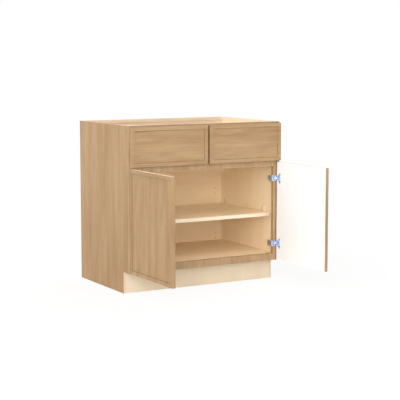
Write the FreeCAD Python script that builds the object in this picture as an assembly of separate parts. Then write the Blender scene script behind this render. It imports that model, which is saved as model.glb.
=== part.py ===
import FreeCAD, Part
import math
import os

from FreeCAD import Vector

os.makedirs("parts", exist_ok=True)

# Kitchen base cabinet with a face frame, two drawers over two doors and one shelf.
# X runs to the right, Y to the wall, Z up; the origin lies on the floor at the middle of the
# back face. The doors stand open at rest and the drawers are shut.

# Carcass
cabinet_width = 914.4
cabinet_depth = 609.6
cabinet_height = 876.3
side_thickness = 12.7
back_thickness = 12.7
floor_thickness = 12.7
housing_depth = 6.35
floor_drop = 3.2
toe_height = 114.3
toe_depth = 76.2
toe_board_thickness = 12.7
toe_board_setback = 1.5
rear_rail_thickness = 12.7
rear_rail_height = 95.0

# Face frame
frame_thickness = 19.05
stile_width = 38.1
centre_stile_width = 38.1
top_rail_height = 38.1
middle_rail_height = 44.45
bottom_rail_height = 38.1
drawer_opening_height = 160.35

# Doors and drawer fronts
front_thickness = 19.05
front_gap = 3.0
side_reveal = 3.2
bottom_reveal = 3.2
top_reveal = 6.3
centre_gap = 3.2
drawer_gap = 12.5
drawer_front_height = 205.0
door_to_drawer_gap = 7.5
slim_frame_width = 19.0
recess_depth = 5.5
recess_slope = 1.6
recess_corner_radius = 3.0
front_edge_radius = 1.6

# Bumpers on the inner faces
bumper_radius = 4.5
bumper_top_radius = 3.0
bumper_height = 2.6
bumper_inset = 11.0

# Hinges: the pin lies inside the cup, close to the door's edge
hinge_inset = 90.0
pin_to_edge = 6.6
pin_to_face = 7.0
pin_radius = 1.0
pin_running_gap = 0.05
knuckle_radius = 1.9
finger_half_height = 4.8
finger_reach = 10.9
ear_gap = 0.4
ear_thickness = 2.0
ear_overhang = 2.0
cup_radius = 17.4
cup_edge_distance = 3.1
cup_depth = 11.2
cup_wall = 0.8
bore_gap = 0.1
flange_thickness = 1.2
flange_rim = 1.8
flange_edge_gap = 2.0
wing_offset = 9.5
wing_width = 15.0
wing_length = 56.0
wing_screw_spacing = 42.0
hinge_sheet = 1.3
strap_half_height = 15.0
arm_stand_out = 11.1
arm_depth = 38.0
arm_taper = 9.0
plate_side_gap = 0.5
plate_depth = 17.0
plate_setback = 1.0
plate_screw_spacing = 17.0
adjust_screw_spacing = 15.0

# Screws: small round parts are many-sided, which is enough at their size
screw_radius = 1.75
screw_head_radius = 3.5
screw_head_height = 1.2
screw_length = 13.0
front_screw_length = 25.0
pilot_gap = 0.05
shank_sides = 6
head_sides = 8
peg_sides = 8
bumper_sides = 12
crown_sides = 12
pin_sides = 12
cup_sides = 24

# Shelf and its clips
shelf_thickness = 19.05
shelf_height = 370.5
shelf_front_setback = 40.95
shelf_back_gap = 12.0
shelf_end_gap = 2.8
shelf_edge_radius = 1.0
clip_plate_thickness = 2.4
clip_width = 18.0
clip_boss_thickness = 6.0
clip_boss_height = 34.0
clip_boss_gap = 0.3
clip_hole_radius = 3.0
clip_hole_drop = 10.0
clip_ledge_length = 14.0
clip_ledge_thickness = 4.0
clip_web_thickness = 3.0
clip_web_height = 14.0
clip_front_distance = 135.0
clip_rear_distance = 70.6
peg_radius = 2.45
peg_length = 8.0
peg_hole_gap = 0.05
peg_hole_depth = 9.0
peg_pitch = 32.0
peg_rows_above = 4
peg_rows_below = 2
back_hole_radius = 2.5
back_hole_depth = 8.0
back_hole_inset = 53.2
upper_hole_height = 457.5
lower_hole_height = 190.5

# Corner braces
brace_leg = 95.0
brace_height = 24.0
brace_wall = 3.5
brace_corner_cut = 9.0
brace_hole_inset = 30.0
brace_hole_radius = 2.75
brace_screw_distance = 66.0

# Drawer boxes
box_side_thickness = 12.7
box_height = 120.0
box_rear_space = 72.9
box_lift = 14.0
dovetail_pitch = 30.0
dovetail_root = 12.0
dovetail_flare = 3.0
box_bottom_thickness = 6.35
box_bottom_lift = 9.5
box_groove_depth = 6.0
front_screw_inset = 60.0
front_screw_lift = 30.0

# Drawer slides: three nested members on each side of a box
slide_width = 12.7
slide_height = 45.7
slide_rear_space = 60.5
slide_sheet = 1.2
slide_setback = 3.0
slide_lift = 38.0
slide_play = 0.5
channel_depth = 8.6
channel_lip = 3.45
middle_web_start = 4.0
middle_depth = 11.9
middle_ear = 2.25
middle_lip = 2.3
drawer_member_reach = 6.7
drawer_member_lip = 2.5
slide_screw_distance = 8.5
slide_screw_length = 14.0
bracket_thickness = 2.0
bracket_height = 40.0
bracket_overlap = 55.0
bracket_flange = 14.0
bracket_screw_length = 12.0

overrun = 1.0

half_width = cabinet_width / 2
inner_x = half_width - side_thickness
frame_front = -cabinet_depth
frame_back = frame_front + frame_thickness
toe_face = frame_front + toe_depth
floor_top = toe_height + bottom_rail_height - floor_drop
floor_low = floor_top - floor_thickness
stile_inner_x = half_width - stile_width
centre_stile_x = centre_stile_width / 2
top_rail_low = cabinet_height - top_rail_height
middle_rail_top = top_rail_low - drawer_opening_height
middle_rail_low = middle_rail_top - middle_rail_height
front_inner_y = frame_front - front_gap
front_outer_y = front_inner_y - front_thickness
drawer_front_top = cabinet_height - top_reveal
drawer_front_low = drawer_front_top - drawer_front_height
door_low = toe_height + bottom_reveal
door_top = drawer_front_low - door_to_drawer_gap
door_inner_x = centre_gap / 2
door_outer_x = half_width - side_reveal
drawer_front_inner_x = drawer_gap / 2
pin_x = door_outer_x - pin_to_edge
pin_y = front_inner_y - pin_to_face
cup_x = door_outer_x - cup_edge_distance - cup_radius
hinge_heights = (door_low + hinge_inset, door_top - hinge_inset)
shelf_low = shelf_height - shelf_thickness

ACROSS = Vector(1, 0, 0)
TO_WALL = Vector(0, 1, 0)
UP = Vector(0, 0, 1)
ORIGIN = Vector(0, 0, 0)


def block(low, high):
    corner = Vector(*low)
    size = Vector(*high) - corner
    return Part.makeBox(size.x, size.y, size.z, corner)


def rod(start, direction, radius, length):
    return Part.makeCylinder(radius, length, Vector(*start), direction)


# The corners of a regular outline round start, in the plane square to direction.
def ring(start, direction, radius, sides):
    turn = FreeCAD.Rotation(UP, direction)
    corners = []
    for number in range(sides):
        angle = 2 * math.pi * number / sides
        corners.append(Vector(*start) + turn.multVec(Vector(math.cos(angle), math.sin(angle), 0)) * radius)
    return corners


def prism(start, direction, radius, length, sides):
    return extrusion(ring(start, direction, radius, sides), direction * length)


def extrusion(points, travel):
    corners = [Vector(*point) for point in points]
    outline = Part.makePolygon(corners + corners[:1])
    return Part.Face(outline).extrude(travel)


def mirrored(shape):
    return shape.mirror(ORIGIN, ACROSS)


def lifted(shape, height):
    return shape.translated(UP * height)


def save(name, *solids):
    shape = solids[0] if len(solids) == 1 else Part.makeCompound(list(solids))
    shape.exportStep("parts/" + name + ".step")


def save_pair(name, right_solids):
    save("right_" + name, *right_solids)
    save("left_" + name, *[mirrored(solid) for solid in right_solids])


# A pan head screw: its head stands on the surface at start and its shank runs along direction.
def pan_screw(start, direction, length):
    head = prism(start, -direction, screw_head_radius, screw_head_height, head_sides)
    return head.fuse(prism(start, direction, screw_radius, length, shank_sides))


def pilot(start, direction, length):
    return prism(start, direction, screw_radius + pilot_gap, length + pilot_gap, shank_sides)


# A screw hole that goes right through a sheet whose near face holds start.
def screw_hole(start, direction, thickness):
    return pilot(Vector(*start) - direction * overrun, direction, thickness + 2 * overrun)


# Shelf hole heights, counted from the peg that the clip's ledge stands on.
peg_height = shelf_low - clip_ledge_thickness / 2
clip_places = (frame_front + clip_front_distance, -clip_rear_distance)


# Side panel: notched for the toe space, housed for the floor panel and rebated for the back.
def side_panel():
    panel = block((inner_x, frame_back, 0), (half_width, 0, cabinet_height))
    notch = block(
        (inner_x - overrun, frame_back - overrun, -overrun),
        (half_width + overrun, toe_face, toe_height),
    )
    floor_housing = block(
        (inner_x - overrun, frame_back - overrun, floor_low),
        (inner_x + housing_depth, -back_thickness, floor_top),
    )
    back_rebate = block(
        (inner_x - overrun, -back_thickness, -overrun),
        (inner_x + housing_depth, overrun, cabinet_height + overrun),
    )
    panel = panel.cut([notch, floor_housing, back_rebate])
    holes = []
    for place in clip_places:
        for row in range(-peg_rows_below, peg_rows_above + 1):
            start = (inner_x - overrun, place, peg_height + row * peg_pitch)
            holes.append(prism(start, ACROSS, peg_radius + peg_hole_gap, peg_hole_depth + overrun, peg_sides))
    for place, height in brace_side_screws():
        holes.append(pilot((inner_x, place, height), ACROSS, screw_length - brace_wall))
    return panel.cut(holes)


def floor_panel():
    reach = inner_x + housing_depth
    return block((-reach, frame_back, floor_low), (reach, -back_thickness, floor_top))


def back_panel():
    reach = inner_x + housing_depth
    panel = block((-reach, -back_thickness, 0), (reach, 0, cabinet_height))
    holes = []
    for height in (upper_hole_height, lower_hole_height):
        for side in (-1, 1):
            for step in (0, peg_pitch):
                start = (side * (half_width - back_hole_inset), -back_thickness - overrun, height - step)
                holes.append(prism(start, TO_WALL, back_hole_radius, back_hole_depth + overrun, peg_sides))
    for start in bracket_screws():
        holes.append(pilot(start, TO_WALL, bracket_screw_length))
    return panel.cut(holes)


def toe_kick_board():
    face = toe_face + toe_board_setback
    return block((-inner_x, face, 0), (inner_x, face + toe_board_thickness, floor_low))


# Hanging rail: it lies upright against the back panel, and the cabinet is screwed to the wall
# through both.
def rear_top_rail():
    low = (-inner_x, -back_thickness - rear_rail_thickness, cabinet_height - rear_rail_height)
    return block(low, (inner_x, -back_thickness, cabinet_height))


# Corner brace: a moulded gusset with a triangular plate, a wall along each panel and a rib.
def brace_middle():
    return cabinet_height - brace_height / 2


def brace_side_screws():
    return [(frame_back + brace_screw_distance, brace_middle())]


def brace_frame_screws():
    return [(inner_x - brace_screw_distance, brace_middle())]


def corner_brace():
    corner = (inner_x, frame_back)
    low = cabinet_height - brace_height

    def gusset(inset, leg, height, bottom):
        start_x = corner[0] - inset
        start_y = corner[1] + inset
        points = [
            (start_x, start_y, bottom),
            (start_x, start_y + leg, bottom),
            (start_x - brace_corner_cut, start_y + leg, bottom),
            (start_x - leg, start_y + brace_corner_cut, bottom),
            (start_x - leg, start_y, bottom),
        ]
        return extrusion(points, UP * height)

    body = gusset(0, brace_leg, brace_height, low)
    hollow = gusset(brace_wall, brace_leg, brace_height - brace_wall + overrun, low - overrun)
    body = body.cut(hollow)
    rib_end = brace_leg / 2
    rib_half = brace_wall / 2
    rib = extrusion(
        [
            (corner[0] - rib_half, corner[1], low),
            (corner[0], corner[1] + rib_half, low),
            (corner[0] - rib_end + rib_half, corner[1] + rib_end, low),
            (corner[0] - rib_end, corner[1] + rib_end - rib_half, low),
        ],
        UP * (brace_height - rib_half),
    )
    body = body.fuse(rib).removeSplitter()
    hole_start = (corner[0] - brace_hole_inset, corner[1] + brace_hole_inset, low - overrun)
    boss_base = (hole_start[0], hole_start[1], low)
    boss = prism(boss_base, UP, 2 * brace_hole_radius, brace_height - rib_half, crown_sides)
    holes = [rod(hole_start, UP, brace_hole_radius, brace_height + 2 * overrun)]
    for place, height in brace_side_screws():
        holes.append(screw_hole((corner[0] - brace_wall, place, height), ACROSS, brace_wall))
    for place, height in brace_frame_screws():
        holes.append(screw_hole((place, corner[1] + brace_wall, height), -TO_WALL, brace_wall))
    return body.fuse(boss).cut(holes)


def brace_screws():
    screws = [pan_screw((inner_x - brace_wall, place, height), ACROSS, screw_length)
              for place, height in brace_side_screws()]
    screws += [pan_screw((place, frame_back + brace_wall, height), -TO_WALL, screw_length)
               for place, height in brace_frame_screws()]
    return screws


# Face frame
def frame_stile():
    stile = block((stile_inner_x, frame_front, toe_height), (half_width, frame_back, cabinet_height))
    holes = [pilot(start, ACROSS, plate_screw_length) for start in plate_screws()]
    holes.append(pilot((stile_inner_x, slide_screw_y, slide_centre), ACROSS, slide_screw_length))
    holes += [pilot((place, frame_back, height), -TO_WALL, screw_length - brace_wall)
              for place, height in brace_frame_screws() if place > stile_inner_x]
    return stile.cut(holes)


def frame_rail(low, high):
    return block((-stile_inner_x, frame_front, low), (stile_inner_x, frame_back, high))


def frame_top_rail():
    rail = frame_rail(top_rail_low, cabinet_height)
    holes = []
    for place, height in brace_frame_screws():
        for side in (-1, 1):
            holes.append(pilot((side * place, frame_back, height), -TO_WALL, screw_length - brace_wall))
    return rail.cut(holes)


def frame_centre_stile():
    low = (-centre_stile_x, frame_front, middle_rail_top)
    stile = block(low, (centre_stile_x, frame_back, top_rail_low))
    holes = []
    for side in (-1, 1):
        start = (side * centre_stile_x, slide_screw_y, slide_centre)
        holes.append(pilot(start, ACROSS * -side, slide_screw_length))
    return stile.cut(holes)


# Door or drawer front: one board whose outer face has a routed slim frame.
# The board is made shut, with its inner face at front_inner_y.
def routed_board(low_x, low_z, high_x, high_z):
    board = block((low_x, front_outer_y, low_z), (high_x, front_inner_y, high_z))
    rim = []
    for edge in board.Edges:
        if edge.BoundBox.YMax < front_inner_y - front_thickness / 2:
            rim.append(edge)
    board = board.makeFillet(front_edge_radius, rim)
    outer = rounded_rectangle(low_x, low_z, high_x, high_z, slim_frame_width, front_outer_y)
    inner = rounded_rectangle(
        low_x, low_z, high_x, high_z, slim_frame_width + recess_slope, front_outer_y + recess_depth
    )
    return board.cut(Part.makeLoft([outer, inner], True, True))


def rounded_rectangle(low_x, low_z, high_x, high_z, inset, depth):
    left, right = low_x + inset, high_x - inset
    bottom, top = low_z + inset, high_z - inset
    radius = recess_corner_radius
    bend = radius * (1 - math.sqrt(0.5))
    runs = [
        ((left + radius, bottom), (right - radius, bottom), (right - bend, bottom + bend)),
        ((right, bottom + radius), (right, top - radius), (right - bend, top - bend)),
        ((right - radius, top), (left + radius, top), (left + bend, top - bend)),
        ((left, top - radius), (left, bottom + radius), (left + bend, bottom + bend)),
    ]
    edges = []
    for number, (start, end, corner) in enumerate(runs):
        following = runs[(number + 1) % len(runs)][0]
        points = [Vector(place[0], depth, place[1]) for place in (start, end, corner, following)]
        edges.append(Part.LineSegment(points[0], points[1]).toShape())
        edges.append(Part.Arc(points[1], points[2], points[3]).toShape())
    return Part.Wire(edges)


# The right door swings about its pin line from shut to square open.
def opened(shape):
    turned = shape.copy()
    turned.rotate(Vector(pin_x, pin_y, 0), UP, 90)
    return turned


def door_bumper_places():
    place_x = door_inner_x + bumper_inset
    return [(place_x, door_low + bumper_inset), (place_x, door_top - bumper_inset)]


def door_board():
    board = routed_board(door_inner_x, door_low, door_outer_x, door_top)
    holes = []
    for height in hinge_heights:
        bore_depth = cup_depth + bore_gap
        start = (cup_x, front_inner_y, height)
        holes.append(prism(start, -TO_WALL, cup_radius + bore_gap, bore_depth, cup_sides))
        holes += [pilot((place, front_inner_y, height + lift), -TO_WALL, screw_length - flange_thickness)
                  for place, lift in wing_screws()]
    return board.cut(holes)


def bumpers(places):
    pads = []
    for place_x, height in places:
        rings = []
        for radius, lift in ((bumper_radius, 0), (bumper_top_radius, bumper_height)):
            start = (place_x, front_inner_y + lift, height)
            corners = ring(start, TO_WALL, radius, bumper_sides)
            rings.append(Part.makePolygon(corners + corners[:1]))
        pads.append(Part.makeLoft(rings, True, True))
    return pads


# Hinge, moving half: a pressed cup with a screw flange and two ears that hold the pin.
wing_x = cup_x - wing_offset


def wing_screws():
    return [(wing_x, side * wing_screw_spacing / 2) for side in (-1, 1)]


def hinge_cup():
    face = front_inner_y
    top = face + flange_thickness
    bowl = prism((cup_x, face, 0), -TO_WALL, cup_radius, cup_depth, cup_sides)
    rim = prism((cup_x, face, 0), TO_WALL, cup_radius + flange_rim, flange_thickness, cup_sides)
    wing_round = wing_width / 2
    straight = wing_length / 2 - wing_round
    wing = block((wing_x - wing_round, face, -straight), (wing_x + wing_round, top, straight))
    ends = [prism((wing_x, face, side * straight), TO_WALL, wing_round, flange_thickness, crown_sides)
            for side in (-1, 1)]
    cup = bowl.fuse([rim, wing] + ends).removeSplitter()
    mouth_depth = cup_depth - cup_wall + flange_thickness
    bottom = (cup_x, top - mouth_depth, 0)
    mouth = prism(bottom, TO_WALL, cup_radius - cup_wall, mouth_depth + overrun, cup_sides)
    trim = block(
        (door_outer_x - flange_edge_gap, face - overrun, -wing_length),
        (door_outer_x + cup_radius, top + overrun, wing_length),
    )
    cup = cup.cut([mouth, trim])
    ears = []
    limit = prism((cup_x, face - cup_depth, 0), TO_WALL, cup_radius, cup_depth + flange_thickness, cup_sides)
    for side in (-1, 1):
        start = side * (finger_half_height + ear_gap)
        end = start + side * ear_thickness
        corner = (pin_x - ear_overhang, pin_y - ear_overhang, min(start, end))
        ear = block(corner, (door_outer_x, top, max(start, end)))
        ears.append(ear.common(limit))
    cup = cup.fuse(ears).removeSplitter()
    flats_radius = (pin_radius + pin_running_gap) / math.cos(math.pi / peg_sides)
    holes = [prism((pin_x, pin_y, -pin_half_length), UP, flats_radius, 2 * pin_half_length, peg_sides)]
    holes += [screw_hole((place, face, lift), TO_WALL, flange_thickness) for place, lift in wing_screws()]
    return cup.cut(holes)


pin_half_length = finger_half_height + ear_gap + ear_thickness


def hinge_pin():
    return prism((pin_x, pin_y, -pin_half_length), UP, pin_radius, 2 * pin_half_length, pin_sides)


def cup_screws():
    start_y = front_inner_y + flange_thickness
    return [pan_screw((place, start_y, lift), -TO_WALL, screw_length) for place, lift in wing_screws()]


# Hinge, fixed half: a folded arm whose strap lies on the stile and whose finger ends in a
# knuckle round the pin, and the plate inside it that is screwed to the stile's inner edge.
arm_x = stile_inner_x - arm_stand_out
plate_x = stile_inner_x - hinge_sheet
plate_middle_y = frame_front + plate_setback + plate_depth / 2
plate_screw_length = screw_length
adjust_screw_y = (plate_middle_y, plate_middle_y + adjust_screw_spacing)


def plate_screws():
    places = []
    for height in hinge_heights:
        for side in (-1, 1):
            lift = height + side * plate_screw_spacing / 2
            places.append((plate_x, plate_middle_y, lift))
    return places


def hinge_arm():
    half = strap_half_height
    front = frame_front - hinge_sheet
    end = pin_x - finger_reach
    strap = block((arm_x, front, -half), (end, frame_front, half))
    web = block((arm_x, front, -half), (arm_x + hinge_sheet, frame_front + arm_depth, half))
    cheeks = []
    for side in (-1, 1):
        edge = side * half
        inside = side * (half - hinge_sheet)
        points = [
            (arm_x, front, edge),
            (stile_inner_x, front, edge),
            (stile_inner_x, frame_front + arm_depth - arm_taper, edge),
            (stile_inner_x - arm_taper, frame_front + arm_depth, edge),
            (arm_x, frame_front + arm_depth, edge),
        ]
        cheeks.append(extrusion(points, UP * (inside - edge)))
    reach = finger_half_height
    knuckle_low = pin_y - knuckle_radius
    leg = block((end - hinge_sheet, knuckle_low, -reach), (end, frame_front, reach))
    finger = block((end - hinge_sheet, knuckle_low, -reach), (pin_x, knuckle_low + hinge_sheet, reach))
    knuckle = rod((pin_x, pin_y, -reach), UP, knuckle_radius, 2 * reach)
    arm = strap.fuse([web, leg, finger, knuckle] + cheeks)
    bore = rod((pin_x, pin_y, -reach - overrun), UP, pin_radius + pin_running_gap, 2 * (reach + overrun))
    holes = [bore]
    holes += [screw_hole((arm_x, place, 0), ACROSS, hinge_sheet) for place in adjust_screw_y]
    return arm.cut(holes).removeSplitter()


def hinge_plate():
    half = strap_half_height - hinge_sheet - plate_side_gap
    start = frame_front + plate_setback
    plate = block((plate_x, start, -half), (stile_inner_x, start + plate_depth, half))
    boss_base = (arm_x + hinge_sheet, plate_middle_y, 0)
    boss = prism(boss_base, ACROSS, screw_head_radius, arm_stand_out - hinge_sheet, head_sides)
    holes = [pilot((arm_x, plate_middle_y, 0), ACROSS, arm_stand_out - hinge_sheet)]
    for side in (-1, 1):
        lift = side * plate_screw_spacing / 2
        holes.append(screw_hole((plate_x, plate_middle_y, lift), ACROSS, hinge_sheet))
    return plate.fuse(boss).cut(holes)


def arm_screws():
    lengths = (arm_stand_out - hinge_sheet, hinge_sheet * 2)
    return [pan_screw((arm_x, place, 0), ACROSS, length) for place, length in zip(adjust_screw_y, lengths)]


def at_both_hinges(solids):
    return [lifted(solid, height) for height in hinge_heights for solid in solids]


# Shelf and its clips
def shelf():
    reach = inner_x - shelf_end_gap
    board = block(
        (-reach, frame_back + shelf_front_setback, shelf_low),
        (reach, -back_thickness - shelf_back_gap, shelf_height),
    )
    front_limit = frame_back + shelf_front_setback + shelf_thickness
    front_edges = [edge for edge in board.Edges
                   if edge.BoundBox.YMax < front_limit and edge.BoundBox.XLength > shelf_thickness]
    return board.makeFillet(shelf_edge_radius, front_edges)


def shelf_clip(place):
    half = clip_width / 2
    low = shelf_low - clip_ledge_thickness - clip_web_height
    boss_low = shelf_height + clip_boss_gap
    boss_top = boss_low + clip_boss_height
    boss_x = inner_x - clip_boss_thickness
    crown_height = boss_top - half
    plate = block((inner_x - clip_plate_thickness, place - half, low), (inner_x, place + half, crown_height))
    boss = block((boss_x, place - half, boss_low), (inner_x, place + half, crown_height))
    crown = prism((boss_x, place, crown_height), ACROSS, half, clip_boss_thickness, crown_sides)
    ledge = block(
        (inner_x - clip_ledge_length, place - half, shelf_low - clip_ledge_thickness),
        (inner_x, place + half, shelf_low),
    )
    web_half = clip_web_thickness / 2
    web = extrusion(
        [
            (inner_x, place - web_half, low),
            (inner_x, place - web_half, shelf_low - clip_ledge_thickness),
            (inner_x - clip_ledge_length, place - web_half, shelf_low - clip_ledge_thickness),
        ],
        TO_WALL * clip_web_thickness,
    )
    clip = plate.fuse([boss, crown, ledge, web])
    for step in (0, 1):
        start = (inner_x, place, peg_height + step * peg_pitch)
        clip = clip.fuse(prism(start, ACROSS, peg_radius, peg_length, peg_sides))
    hole = (boss_x - overrun, place, boss_top - clip_hole_drop)
    clip = clip.removeSplitter()
    return clip.cut(prism(hole, ACROSS, clip_hole_radius, clip_boss_thickness + overrun, peg_sides))


# Drawers: the right one is modelled, the left one mirrors it.
slide_outer = (stile_inner_x, centre_stile_x)
slide_inward = (-1, 1)
box_low_z = middle_rail_top + box_lift
box_right_x = stile_inner_x - slide_width
box_left_x = centre_stile_x + slide_width
box_front_y = front_inner_y
box_back_y = -back_thickness - box_rear_space
slide_centre = box_low_z + slide_lift
slide_front_y = frame_front + slide_setback
slide_back_y = -back_thickness - slide_rear_space
slide_length = slide_back_y - slide_front_y
slide_screw_y = slide_front_y + slide_screw_distance


def drawer_front():
    board = routed_board(drawer_front_inner_x, drawer_front_low, door_outer_x, drawer_front_top)
    depth = front_screw_length - box_side_thickness
    return board.cut([pilot(start, -TO_WALL, depth) for start in front_screw_places(front_inner_y)])


def front_screw_places(depth):
    low_x, high_x = box_left_x + front_screw_inset, box_right_x - front_screw_inset
    low_z, high_z = box_low_z + front_screw_lift, box_low_z + box_height - front_screw_lift
    return [(place, depth, height) for place in (low_x, high_x) for height in (low_z, high_z)]


def drawer_bumper_places():
    low_x, high_x = drawer_front_inner_x + bumper_inset, door_outer_x - bumper_inset
    return [(low_x, drawer_front_top - bumper_inset), (high_x, drawer_front_top - bumper_inset)]


# The bottom slides in a groove that runs round the inside of the box.
def box_bottom():
    inset = box_side_thickness - box_groove_depth
    low = box_low_z + box_bottom_lift
    return block(
        (box_left_x + inset, box_front_y + inset, low),
        (box_right_x - inset, box_back_y - inset, low + box_bottom_thickness),
    )


# The tails of one corner of a box: they widen from the shoulder to the end of the side, and
# the front and back pieces are cut out to take them.
def corner_tails(low_x, shoulder_y, end_y):
    count = max(round(box_height / dovetail_pitch), 1)
    spacing = box_height / count
    root = dovetail_root / 2
    end = root + dovetail_flare
    tails = []
    for number in range(count):
        middle = box_low_z + spacing * (number + 1 / 2)
        points = [
            (low_x, shoulder_y, middle - root),
            (low_x, end_y, middle - end),
            (low_x, end_y, middle + end),
            (low_x, shoulder_y, middle + root),
        ]
        tails.append(extrusion(points, ACROSS * box_side_thickness))
    return tails


def side_tails(low_x):
    return (corner_tails(low_x, box_front_y + box_side_thickness, box_front_y)
            + corner_tails(low_x, box_back_y - box_side_thickness, box_back_y))


def box_end_piece(start_y):
    piece = block(
        (box_left_x, start_y, box_low_z),
        (box_right_x, start_y + box_side_thickness, box_low_z + box_height),
    )
    tails = side_tails(box_left_x) + side_tails(box_right_x - box_side_thickness)
    return piece.cut(tails + [box_bottom()])


def box_front():
    places = front_screw_places(box_front_y)
    holes = [screw_hole(start, TO_WALL, box_side_thickness) for start in places]
    return box_end_piece(box_front_y).cut(holes)


def box_back():
    return box_end_piece(box_back_y - box_side_thickness)


def box_side(low_x):
    side = block(
        (low_x, box_front_y + box_side_thickness, box_low_z),
        (low_x + box_side_thickness, box_back_y - box_side_thickness, box_low_z + box_height),
    )
    return side.fuse(side_tails(low_x)).removeSplitter().cut(box_bottom())


def front_screws():
    start_y = box_front_y + box_side_thickness
    return [pan_screw(start, -TO_WALL, front_screw_length) for start in front_screw_places(start_y)]


# Slide members. The profile is drawn across the slide: first the distance from the face that the
# slide is fixed on, then the height above its centre line. It is folded sheet of one thickness.
def slide_member(profile, fixed_x, inward, start_y, length):
    points = [(fixed_x + inward * across, start_y, slide_centre + up) for across, up in profile]
    return extrusion(points, TO_WALL * length)


def both_halves(upper_half):
    return upper_half + [(across, -up) for across, up in reversed(upper_half)]


def cabinet_member_profile():
    top = slide_height / 2
    return both_halves([
        (0, top),
        (channel_depth, top),
        (channel_depth, top - channel_lip),
        (channel_depth - slide_sheet, top - channel_lip),
        (channel_depth - slide_sheet, top - slide_sheet),
        (slide_sheet, top - slide_sheet),
    ])


def middle_member_profile():
    lip_low = slide_height / 2 - channel_lip
    flange_top = lip_low - slide_play
    ear_top = min(flange_top + middle_ear, slide_height / 2 - slide_sheet - slide_play)
    web_end = middle_web_start + slide_sheet
    return both_halves([
        (middle_web_start, ear_top),
        (web_end, ear_top),
        (web_end, flange_top),
        (middle_depth, flange_top),
        (middle_depth, flange_top - slide_sheet - middle_lip),
        (middle_depth - slide_sheet, flange_top - slide_sheet - middle_lip),
        (middle_depth - slide_sheet, flange_top - slide_sheet),
        (web_end, flange_top - slide_sheet),
    ])


def drawer_member_profile():
    middle_lip_low = slide_height / 2 - channel_lip - slide_play - slide_sheet - middle_lip
    top = middle_lip_low - slide_play
    reach_start = slide_width - drawer_member_reach
    return both_halves([
        (slide_width - slide_sheet, top - slide_sheet),
        (reach_start, top - slide_sheet),
        (reach_start, top + drawer_member_lip),
        (reach_start + slide_sheet, top + drawer_member_lip),
        (reach_start + slide_sheet, top),
        (slide_width, top),
    ])


def channel(profile, length, start_y):
    return [slide_member(profile(), fixed_x, inward, start_y, length)
            for fixed_x, inward in zip(slide_outer, slide_inward)]


def cabinet_members():
    members = []
    for member, fixed_x, inward in zip(channel(cabinet_member_profile, slide_length, slide_front_y),
                                       slide_outer, slide_inward):
        start = (fixed_x, slide_screw_y, slide_centre)
        members.append(member.cut(screw_hole(start, ACROSS * inward, slide_sheet)))
    return members


def slide_screws():
    return [pan_screw((fixed_x + inward * slide_sheet, slide_screw_y, slide_centre), ACROSS * -inward,
                      slide_screw_length)
            for fixed_x, inward in zip(slide_outer, slide_inward)]


# Rear bracket: it runs along the fixed member to the back panel and is screwed there.
def bracket_screws():
    places = []
    for mirror_side in (-1, 1):
        for fixed_x, inward in zip(slide_outer, slide_inward):
            place = mirror_side * (fixed_x - inward * (bracket_thickness + bracket_flange / 2))
            places.append((place, -back_thickness - bracket_thickness, slide_centre))
    return places


def rear_brackets():
    brackets = []
    half = bracket_height / 2
    start_y = slide_back_y - bracket_overlap
    for fixed_x, inward in zip(slide_outer, slide_inward):
        outside = fixed_x - inward * bracket_thickness
        flange_end = outside - inward * bracket_flange
        tongue = block(
            (min(fixed_x, outside), start_y, slide_centre - half),
            (max(fixed_x, outside), -back_thickness, slide_centre + half),
        )
        flange = block(
            (min(outside, flange_end), -back_thickness - bracket_thickness, slide_centre - half),
            (max(outside, flange_end), -back_thickness, slide_centre + half),
        )
        brackets.append(tongue.fuse(flange).removeSplitter())
    holes = [screw_hole(start, TO_WALL, bracket_thickness) for start in bracket_screws()]
    return [bracket.cut(holes) for bracket in brackets]


def bracket_screw_set():
    return [pan_screw(start, TO_WALL, bracket_screw_length) for start in bracket_screws()]


save_pair("side_panel", [side_panel()])
save("floor_panel", floor_panel())
save("back_panel", back_panel())
save("toe_kick_board", toe_kick_board())
save("rear_top_rail", rear_top_rail())
save_pair("corner_brace", [corner_brace()])
save("corner_brace_screws", *brace_screws(), *[mirrored(screw) for screw in brace_screws()])

save_pair("frame_stile", [frame_stile()])
save("frame_top_rail", frame_top_rail())
save("frame_middle_rail", frame_rail(middle_rail_low, middle_rail_top))
save("frame_bottom_rail", frame_rail(toe_height, toe_height + bottom_rail_height))
save("frame_centre_stile", frame_centre_stile())

save("shelf", shelf())
right_clips = [shelf_clip(place) for place in clip_places]
save("shelf_clips", *right_clips, *[mirrored(clip) for clip in right_clips])

save_pair("hinge_arms", at_both_hinges([hinge_arm()]))
save_pair("hinge_plates", at_both_hinges([hinge_plate()]))
plate_screw_set = [pan_screw(start, ACROSS, plate_screw_length) for start in plate_screws()]
fixed_screws = at_both_hinges(arm_screws()) + plate_screw_set
save("hinge_arm_screws", *fixed_screws, *[mirrored(screw) for screw in fixed_screws])

save_pair("door", [opened(door_board())])
save_pair("hinge_cups", [opened(cup) for cup in at_both_hinges([hinge_cup()])])
save_pair("hinge_pins", [opened(pin) for pin in at_both_hinges([hinge_pin()])])
save_pair("hinge_cup_screws", [opened(screw) for screw in at_both_hinges(cup_screws())])
save_pair("door_bumpers", [opened(pad) for pad in bumpers(door_bumper_places())])

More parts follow.
